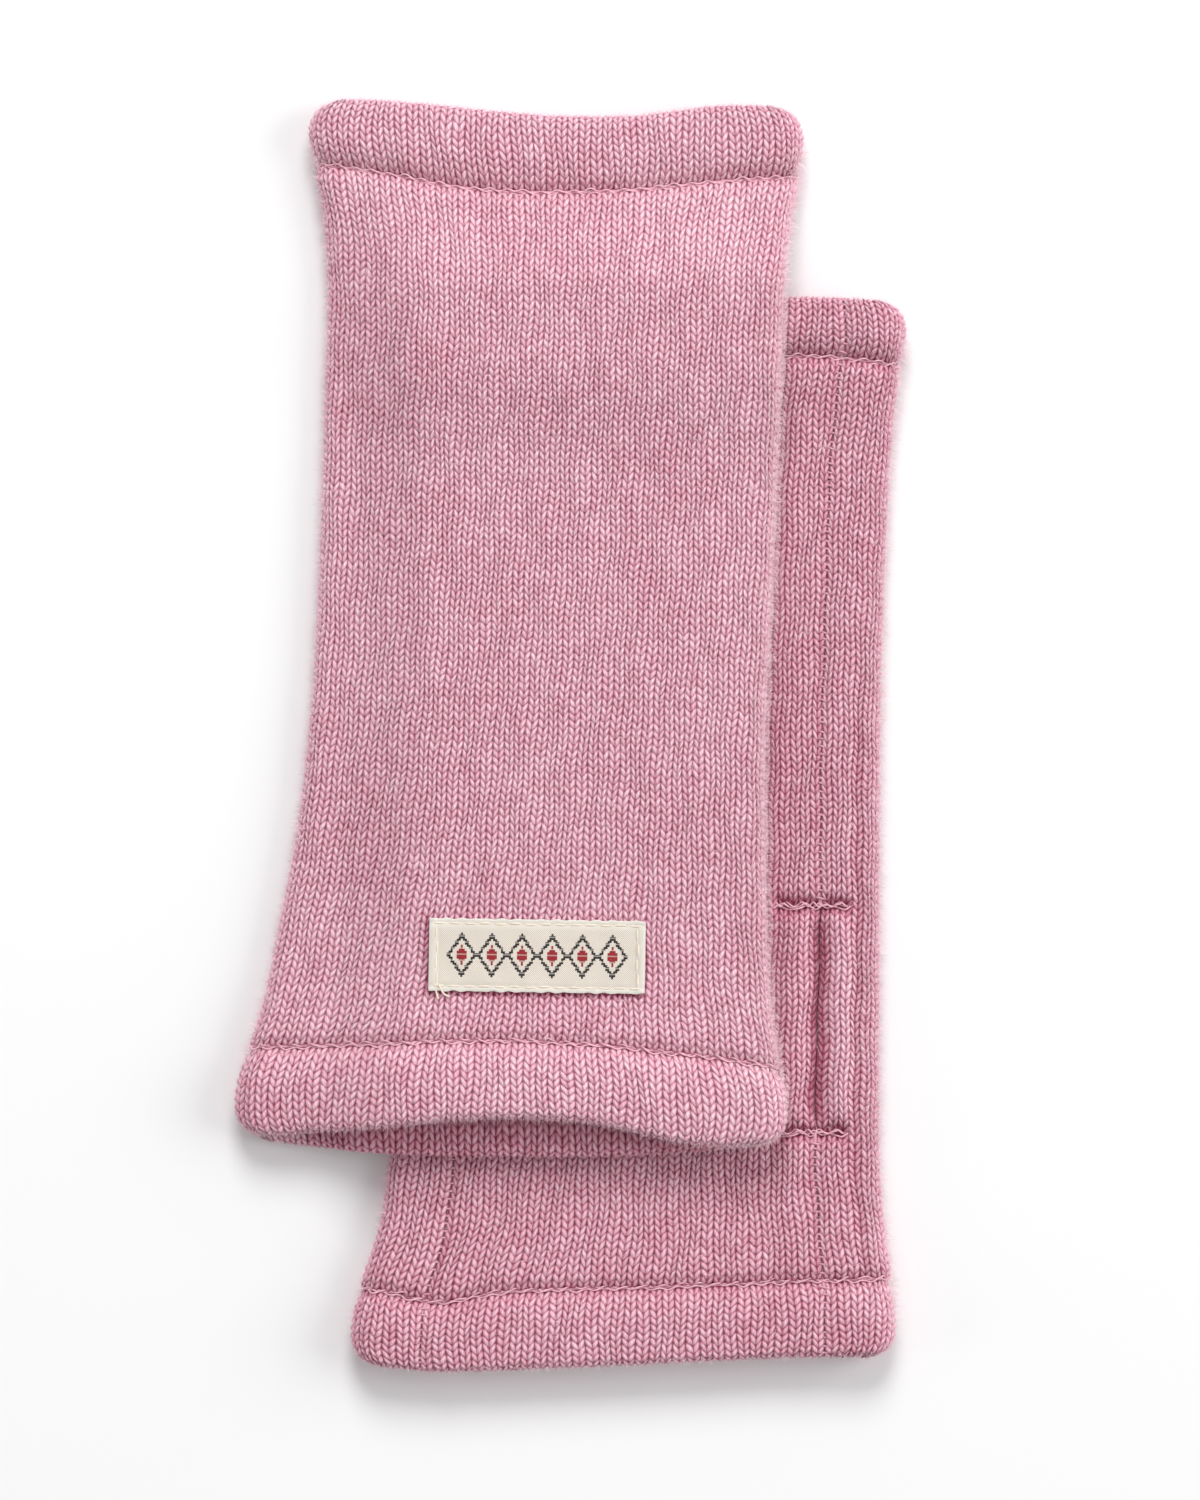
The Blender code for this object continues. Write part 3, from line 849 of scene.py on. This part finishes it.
def add(name, data):
    """A new object in the scene, at the origin."""
    piece = bpy.data.objects.new(name, data)
    bpy.context.collection.objects.link(piece)
    return piece


def thread(name, paths, radius, closed=False):
    """Round threads along the paths, as one mesh."""
    curve = bpy.data.curves.new(name, "CURVE")
    curve.dimensions = "3D"
    curve.bevel_depth = radius * MM
    curve.bevel_resolution = 1
    curve.use_fill_caps = not closed
    for path in paths:
        spline = curve.splines.new("POLY")
        spline.points.add(len(path) - 1)
        spline.points.foreach_set("co", np.column_stack([path, np.ones(len(path))]).reshape(-1))
        spline.use_cyclic_u = closed
        spline.use_smooth = True
    piece = add(name, curve)
    bpy.ops.object.select_all(action="DESELECT")
    piece.select_set(True)
    bpy.context.view_layer.objects.active = piece
    bpy.ops.object.convert(target="MESH")
    return bpy.context.active_object


def line_course(which, end):
    return 0 if end == "arm" else COURSES[which]


def hem_threads(which, end):
    us = np.arange(-HALF_ROUND, HALF_ROUND, 0.2)
    turn = us / WALES_ROUND * math.tau
    paths = []
    for side, start in ((-1, 0.4), (1, 1.9)):
        wave = np.sin(us * math.tau / WAVE + start)
        wander = 0.10 * np.sin(12 * turn + start * 3) + 0.08 * np.sin(27 * turn + start)
        dip = np.cos(us * math.tau / WAVE + start + np.sin(5 * turn))
        vs = line_course(which, end) + STRAND_APART * side + STRAND_WAVE * wave + wander
        paths.append(on_cloth(which, us, vs, STRAND_DEPTH + STRAND_DIP * dip))
    return thread(f"{which}_{end}_hem_thread", paths, THREAD_RADIUS, closed=True)


def hem_welt(which, end):
    """The fold of yarn that fills the groove below the stitching."""
    us = np.arange(-HALF_ROUND, HALF_ROUND, 0.6)
    path = on_cloth(which, us, line_course(which, end), WELT_DEPTH)
    return thread(f"{which}_{end}_hem_welt", [path], WELT_RADIUS, closed=True)


def course_at(which, u, along):
    around = around_of(np.asarray(u, float))
    low, high = hem_lines(which, around)
    return (along - low) / (high - low) * COURSES[which]


def slit_courses(which):
    return [float(course_at(which, SEAM_WALE, along)) for along in (SLIT_FROM, SLIT_TO)]


def seam_welts(which):
    """The yarn caught inside both side seams, which fills them below the rungs."""
    low, high = slit_courses(which)
    start, stop = -WELTS_PAST, COURSES[which] + WELTS_PAST
    paths = []
    for side, first, last in ((1, start, low), (1, high, stop), (-1, start, stop)):
        vs = np.linspace(first, last, int(last - first) + 1)
        paths.append(on_cloth(which, side * SEAM_WALE, vs, WELT_DEPTH))
    return thread(f"{which}_seam_welt", paths, WELT_RADIUS)


def seam_rungs(which):
    """Short threads across both seams, one a course, left out where the thumb goes through."""
    low, high = slit_courses(which)
    paths = []
    for side in (1, -1):
        for course in range(-RUNGS_PAST, COURSES[which] + RUNGS_PAST + 1):
            if side > 0 and low - 0.5 < course < high + 0.5:
                continue
            us = side * (SEAM_WALE + RUNG_ACROSS)
            vs = course + RUNG_ALONG + rng.normal(0, RUNG_STRAY)
            paths.append(on_cloth(which, us, vs, RUNG_DEPTHS))
    return thread(f"{which}_seam_rungs", paths, RUNG_RADIUS)


def slit_bars(which):
    """Three strands across each end of the thumb slit, each with its side, start and wave."""
    paths = []
    for along in (SLIT_FROM, SLIT_TO):
        for side, start, step in BAR_STRANDS:
            first = SEAM_WALE - BAR_BEFORE - side * 0.5
            us = np.arange(first, SEAM_WALE + BAR_BEYOND + side * 0.4, 0.15)
            wave = BAR_WAVE * np.sin(us * math.tau / step + start + np.sin(us * 1.7))
            vs = course_at(which, us, along) + BAR_APART * side + wave
            depths = 1.3 + 0.5 * np.cos(us * math.tau / step + 2 * start)
            paths.append(on_cloth(which, us, vs, depths))
    return thread(f"{which}_slit_bars", paths, THREAD_RADIUS)


threads = []
for which in ("lower", "upper"):
    for end in ("arm", "finger"):
        threads += [hem_threads(which, end), hem_welt(which, end)]
    threads += [seam_welts(which), seam_rungs(which), slit_bars(which)]
print([(piece.name, len(piece.data.polygons)) for piece in threads])

# %% [markdown]
# The threads' finish
#
# The stitching is pale, and the yarn inside the seams is darker, because little light reaches it.
# A fine noise runs along each thread, so that it looks spun.

# %% Colour the threads
STREAKS, FIBRE_TINTS = 900.0, 300.0
SPUN = {"Roughness": 0.7, "Sheen_Weight": 0.2}


def spun_finish(name, dark, light, scale, height, **fixed):
    """Spun wool, with a little light and dark in it, and a fine relief if it has a height."""
    finish = Finish(name, **fixed)
    where = finish.node("ShaderNodeTexCoord", None, None, "Object")
    streaks = finish.noise(where, scale)
    finish.paint(finish.mix(streaks, dark, light))
    if height:
        finish.bump(streaks, height)
    return finish.material


def thread_finish(name, dark, light):
    return spun_finish(name, dark, light, STREAKS, 0.08 * MM, **SPUN)


hem_thread_material = thread_finish("hem_thread", colour(212, 148, 168), colour(252, 208, 221))
seam_material = thread_finish("seam_thread", colour(190, 126, 146), colour(236, 184, 200))
for piece in threads:
    in_seam = piece.name.endswith(("rungs", "welt"))
    piece.data.materials.append(seam_material if in_seam else hem_thread_material)
print("threads coloured:", len(threads))

# %% [markdown]
# The label
#
# A cream tape is sewn to the back near the arm end, with its two ends folded under. The sheet is a
# grid laid over the knit and thickened by a Solidify modifier, with a dent along its stitches.

# %% The label's cloth
LABEL_LIFT, LABEL_THICK, LABEL_FOLD = 0.75, 0.5, 2.0
LABEL_STITCH_IN, LABEL_DENT, DENT_WIDE = 1.05, 0.34, 0.5
END_STITCH_IN, END_DENT, END_DENT_WIDE = 0.35, 0.7, 0.35
FOLD_RISE, SOFT, RIPPLE = 0.3, 0.10, 0.16
RIM_DROP, RIM_REACH = 0.3, 0.8
LABEL_COLUMNS, LABEL_ROWS = 120, 42


def rolled(distance, drop, reach):
    """How far a rounded edge lies below the cloth."""
    gone = np.clip(1 - distance / reach, 0, 1)
    return drop * (1 - np.sqrt(1 - gone**2))


def label_depth(x, y):
    """How deep the label's upper face lies: negative, because it stands above the knit."""
    half_x, half_y = LABEL_SIZE[0] / 2, LABEL_SIZE[1] / 2
    ends = half_x - LABEL_FOLD
    doubled = smoothstep((np.abs(x) - ends) / 0.5)
    rows = bell(np.abs(y) - (half_y - LABEL_STITCH_IN), DENT_WIDE)
    ends_sewn = bell(np.abs(x) - (ends + END_STITCH_IN), END_DENT_WIDE)
    soft = SOFT * np.sin(x * 0.47 + 1) * np.sin(y * 0.6 + x * 0.2)
    rim = rolled(np.minimum(half_x - np.abs(x), half_y - np.abs(y)), RIM_DROP, RIM_REACH)
    dent = LABEL_DENT * np.maximum(rows, END_DENT * ends_sewn)
    return rim + dent - (LABEL_LIFT + FOLD_RISE * doubled + soft)


def on_label(x, y, depth):
    return (label_point(x, y, depth) + SHIFT) * MM


def label_sheet():
    piece = new_grid("label", LABEL_COLUMNS, LABEL_ROWS)
    flat = np.empty(len(piece.data.vertices) * 3, np.float32)
    piece.data.vertices.foreach_get("co", flat)
    x, y = flat[0::3] * LABEL_SIZE[0], flat[1::3] * LABEL_SIZE[1]
    write_uv(piece.data, x, y)
    reach = np.abs(y) / (LABEL_SIZE[1] / 2)
    ripple = RIPPLE * reach**4 * np.sin(x * 1.9) * np.sin(x * 0.31 + 0.6)
    move_to(piece.data, on_label(x, y + ripple * np.sign(y), label_depth(x, y)))
    thick = piece.modifiers.new("thickness", "SOLIDIFY")
    thick.thickness = LABEL_THICK * MM
    thick.offset = -1.0
    bpy.ops.object.modifier_apply(modifier="thickness")
    piece.data.shade_smooth()
    piece.data.set_sharp_from_angle(angle=math.radians(50))
    return piece


label = label_sheet()
print("the label has", len(label.data.polygons), "faces")

# %% [markdown]
# The label's stitches
#
# A running stitch goes round the label inside its rim. Each stitch comes up out of the cloth,
# runs along it and dives in again. Two cut ends of the thread hang out below the left corner.

# %% Sew the label on
STITCH_LENGTH, STITCH_STEP, STITCH_RADIUS = 2.7, 3.15, 0.2
STITCH_BOW, STITCH_DIVE, STITCH_PROUD = 0.12, 0.42, 0.1
CUT_ENDS, CUT_END_LENGTH = ((1.2, 1.0), (2.1, 2.4)), 2.6


def label_stitch(x, y, run_x, run_y):
    """One running stitch on the label, up out of the cloth and down into it again."""
    share = np.linspace(-0.5, 0.5, 7)
    bow = STITCH_BOW * math.sin(x * 5.1 + y)
    xs = x + share * run_x + bow * (run_y != 0)
    ys = y + share * run_y + bow * (run_x != 0) * np.cos(share * math.pi)
    dive = STITCH_DIVE * (np.abs(share) * 2) ** 4
    return on_label(xs, ys, label_depth(xs, ys) + dive - STITCH_PROUD)


def label_stitches():
    half_x, half_y = LABEL_SIZE[0] / 2, LABEL_SIZE[1] / 2 - LABEL_STITCH_IN
    paths = []
    for y in (-half_y, half_y):
        for x in np.arange(-half_x + 2.2, half_x - 1.6, STITCH_STEP):
            paths.append(label_stitch(x, y, STITCH_LENGTH, 0.0))
    for x in (-half_x + LABEL_FOLD - 0.4, half_x - LABEL_FOLD + 0.4):
        for y in np.arange(-half_y + 1.7, half_y - 0.8, STITCH_STEP):
            paths.append(label_stitch(x, y, 0.0, STITCH_LENGTH))
    for start, lean_x in CUT_ENDS:
        share = np.linspace(0, 1, 8)
        xs = start - half_x + share * lean_x
        ys = -half_y - share * CUT_END_LENGTH + 0.4 * np.sin(share * 5 + lean_x)
        depth = np.where(share < 0.5, -0.8 + share, -0.35)
        paths.append(on_label(xs, ys, depth))
    return thread("label_stitches", paths, STITCH_RADIUS)


label_threads = label_stitches()
cream = thread_finish("label_thread", colour(222, 204, 180), colour(252, 243, 226))
label_threads.data.materials.append(cream)
print("stitches round the label:", len(label_threads.data.polygons), "faces")

# %% [markdown]
# The label's woven band
#
# The band is a plain folk ribbon: a row of charcoal lozenges, each with a small red one in its
# middle. The shader rounds every place to a coarse weaving step and measures how far it is from
# the nearest lozenge's middle, sideways and upwards together, which tells all the colours.

# %% Weave the band
WEAVE_STEP = 0.42
FLOAT_LENGTH, TIE = 1.26, 0.22
LOZENGE_STEP, LOZENGE_STEEP, BAND_HALF = 6.3, 1.45, 18.9
RING_OUTSIDE, RING_INSIDE, CORE = 4.6, 3.5, 1.9


def label_finish():
    tape = Finish("label", Roughness=0.85, Sheen_Weight=0.15)
    x, y = tape.uv()
    warp, weft = [(a * (math.tau / WEAVE_STEP)).sine() for a in (x, y)]
    threads_over = warp * weft
    step_x, step_y = [((a / WEAVE_STEP).floor() + 0.5) * WEAVE_STEP for a in (x, y)]
    nearest = (step_x / LOZENGE_STEP).floor() + 0.5
    away = abs(step_x - nearest * LOZENGE_STEP) * LOZENGE_STEEP + abs(step_y)
    inside = abs(x) < BAND_HALF
    tied = (y / FLOAT_LENGTH).fraction() < TIE
    inside = inside * (1 - tied * 0.45)
    ring = ((away < RING_OUTSIDE) - (away < RING_INSIDE)) * inside
    core = (away < CORE) * inside
    yarn = tape.noise(tape.place(x * 3, y * 9), 1.0, 2.0)
    # Painted highlight: the label's rim is drawn paler, as if its rolled edges catch the light.
    rim = (abs(x) / (LABEL_SIZE[0] / 2)) ** 30 + (abs(y) / (LABEL_SIZE[1] / 2)) ** 8
    weave_and_rim_highlight = threads_over * 0.5 + yarn * 0.7 + 0.25 + rim * 0.6
    linen = tape.mix(weave_and_rim_highlight, colour(242, 219, 198), colour(255, 251, 241))
    red = tape.mix(yarn, colour(128, 10, 24), colour(204, 40, 52))
    charcoal = tape.mix(yarn, colour(16, 13, 14), colour(52, 46, 46))
    tape.paint(tape.mix(ring, tape.mix(core, linen, red), charcoal))
    tape.bump(threads_over * 0.5 + yarn * 0.5 + ring * 0.6 + core * 0.6, 0.22 * MM)
    return tape.material


label.data.materials.append(label_finish())
print("the label's band is", 2 * BAND_HALF, "mm long")

# %% [markdown]
# The fuzz
#
# Soft wool has a haze of loose fibres, and most of them grow where it shows, at the side folds and
# the rolled hems, where some stand up. Each one is a thin, bent sliver of three triangles. The
# seed is fixed, so every run gives the same haze.

# %% Loose fibres
FIBRES = {"upper": 40000, "lower": 26500}
FIBRE_LENGTH, FIBRE_WIDTH = (1.0, 3.4), 0.05
TO_RIGHT_FOLD, TO_FOLDS, TO_ENDS = 0.18, 0.46, 0.84
FOLD_SPREAD, END_SPREAD = 0.85, 1.6
FLOOR_CLEAR = 0.15


def unit(vectors):
    return vectors / np.maximum(np.linalg.norm(vectors, axis=-1, keepdims=True), 1e-9)


def scatter(which):
    """Random wales and courses, most of them at the folds and the ends, and how steep."""
    count = FIBRES[which]
    fold = WALES_ROUND / 4
    us = rng.uniform(-fold - 3, fold + 3, count)
    vs = rng.uniform(-12, COURSES[which] + 11, count)
    part = rng.uniform(0, 1, count)
    at_fold = np.sign(us) * (fold - 0.4 + rng.normal(0, FOLD_SPREAD, count))
    at_fold = np.where(part < TO_RIGHT_FOLD, np.abs(at_fold), at_fold)
    us = np.where(part < TO_FOLDS, at_fold, us)
    ends = np.where(rng.uniform(0, 1, count) < 0.5, -11.0, COURSES[which] + 10.2)
    vs = np.where(part > TO_ENDS, ends + rng.normal(0, END_SPREAD, count), vs)
    us = np.where(part > TO_ENDS, us * (fold - 2) / (fold + 3), us)
    flat = (part > TO_FOLDS) & (part < TO_ENDS)
    rise = np.radians(rng.uniform(8, 40, count) * flat + rng.uniform(20, 88, count) * ~flat)
    return (us if which == "upper" else HALF_ROUND - us), vs, rise[:, None]


def fuzz(which):
    us, vs, rise = scatter(which)
    root = on_cloth(which, us, vs, 0.25)
    along_u = on_cloth(which, us + 0.05, vs, 0.25) - root
    along_v = on_cloth(which, us, vs + 0.05, 0.25) - root
    side, up_cloth = unit(along_u), unit(along_v)
    normal = unit(np.cross(side, up_cloth)) * (1 if which == "upper" else -1)
    count = len(us)
    spin = rng.uniform(0, math.tau, count)[:, None]
    tangent = np.cos(spin) * side + np.sin(spin) * up_cloth
    heading = np.sin(rise) * normal + np.cos(rise) * tangent
    curl = np.cross(heading, normal) * rng.normal(0, 0.6, count)[:, None]
    shortest, longest = FIBRE_LENGTH
    length = (shortest + (longest - shortest) * rng.uniform(0, 1, (count, 1)) ** 2.2) * MM
    length = length * np.where((vs < -7) | (vs > COURSES[which] + 6), 0.5, 1.0)[:, None]
    middle = root + heading * length * 0.5
    tip = middle + unit(heading + curl - 0.25 * normal) * length * 0.5
    wide = unit(np.cross(heading, rng.normal(0, 1, (count, 3)))) * FIBRE_WIDTH / 2 * MM
    narrower = wide * 0.8
    points = [root - wide, root + wide, middle - narrower, middle + narrower, tip]
    points = np.stack(points, axis=1)
    points[..., 2] = np.maximum(points[..., 2], FLOOR_CLEAR * MM)
    start = np.arange(count)[:, None] * 5
    faces = np.concatenate([start + (0, 1, 3), start + (0, 3, 2), start + (2, 3, 4)])
    mesh = bpy.data.meshes.new(f"{which}_fuzz")
    mesh.from_pydata(points.reshape(-1, 3), [], faces)
    return add(f"{which}_fuzz", mesh)


tints = (colour(244, 203, 215), colour(255, 240, 245))
fibre_material = spun_finish("fibre", *tints, FIBRE_TINTS, 0, Roughness=1.0, Sheen_Weight=0.5)
fuzzes = [fuzz("lower"), fuzz("upper")]
for piece in fuzzes:
    piece.data.materials.append(fibre_material)
    print(piece.name, len(piece.data.polygons), "triangles")

# %% [markdown]
# Handing the pieces to the frame
#
# Every piece rides on the one body, because cloth has no joints. Each knitted piece stands for its
# solid, which is hidden.

# %% Ride and replace


def declare(which, panel, end):
    node = f"{which}_{panel}_panel" if end is None else f"{which}_{panel}_{end}_hem"
    piece = knits[node]
    if end is None:
        vs = np.linspace(0, COURSES[which], 80)
    else:
        around = around_of(panel_columns(panel))
        _, straight, radius = hem_profile(which, end, around)
        courses = float(np.mean((straight + math.pi * radius / 2) / hem_course(which, end, around)))
        vs = np.linspace(0, courses, 20)
        vs = -vs if end == "arm" else COURSES[which] + vs
    us, vs = np.meshgrid(panel_columns(panel)[::2], vs)
    places = surface(which, panel, us, vs, 0.0)
    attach(piece, "root")
    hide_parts(node)


for which in ("lower", "upper"):
    for panel in ("back", "palm"):
        for end in (None, "arm", "finger"):
            declare(which, panel, end)
for piece in (*threads, *fuzzes):
    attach(piece, "root")
for piece in (label, label_threads):
    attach(piece, "root")
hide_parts("upper_label")

# %% [markdown]
# The studio
#
# The pair lies on a plain white floor. Two soft, low lights, beyond the finger ends and on the
# right, model the stitches and give the faint shadows, a weak one lights the folds on the left,
# and an even sky fills the rest. The camera looks straight down through a long lens.

# %% Floor, light and camera
VIEW_MIDDLE = (6.1, -3.0)
VIEW_HEIGHT, CAMERA_AWAY, SENSOR = 315.0, 2400.0, 36.0
FLOOR_SIZE, FLOOR_BELOW = 4.0, 0.2
SKY = 0.43
LIGHTS = [
    ("right", (2.3, 0.3, 1.2), 2.2, 41.0),
    ("far_end", (0.0, 1.15, 1.1), 0.8, 17.5),
    ("left", (-1.9, -0.2, 0.45), 1.2, 6.0),
]


def floor():
    bpy.ops.object.select_all(action="DESELECT")
    bpy.ops.mesh.primitive_plane_add(size=FLOOR_SIZE, location=(0, 0, -FLOOR_BELOW * MM))
    ground = bpy.context.active_object
    ground.name = "floor"
    white = (0.90, 0.90, 0.90, 1.0)
    finish = Finish("floor", Roughness=0.9, Specular_IOR_Level=0.0, Base_Color=white)
    ground.data.materials.append(finish.material)


def soft_light(name, place, size, power):
    data = bpy.data.lights.new(name, "AREA")
    data.shape = "DISK"
    data.size = size
    data.energy = power
    light = add(name, data)
    light.location = place
    light.rotation_euler = (-light.location).to_track_quat("-Z", "Y").to_euler()


def sky(strength):
    world = bpy.data.worlds.new("sky")
    world.use_nodes = True
    background = world.node_tree.nodes["Background"].inputs
    background["Color"].default_value = (1.0, 1.0, 1.0, 1.0)
    background["Strength"].default_value = strength
    bpy.context.scene.world = world


def camera():
    data = bpy.data.cameras.new("camera")
    data.sensor_fit = "VERTICAL"
    data.sensor_height = SENSOR
    data.lens = SENSOR * CAMERA_AWAY / VIEW_HEIGHT
    eye = add("camera", data)
    eye.location = (VIEW_MIDDLE[0] * MM, VIEW_MIDDLE[1] * MM, CAMERA_AWAY * MM)
    bpy.context.scene.camera = eye


floor()
sky(SKY)
for light in LIGHTS:
    soft_light(*light)
camera()
bpy.context.scene.view_settings.view_transform = "Standard"
print("camera stands", CAMERA_AWAY, "mm away")
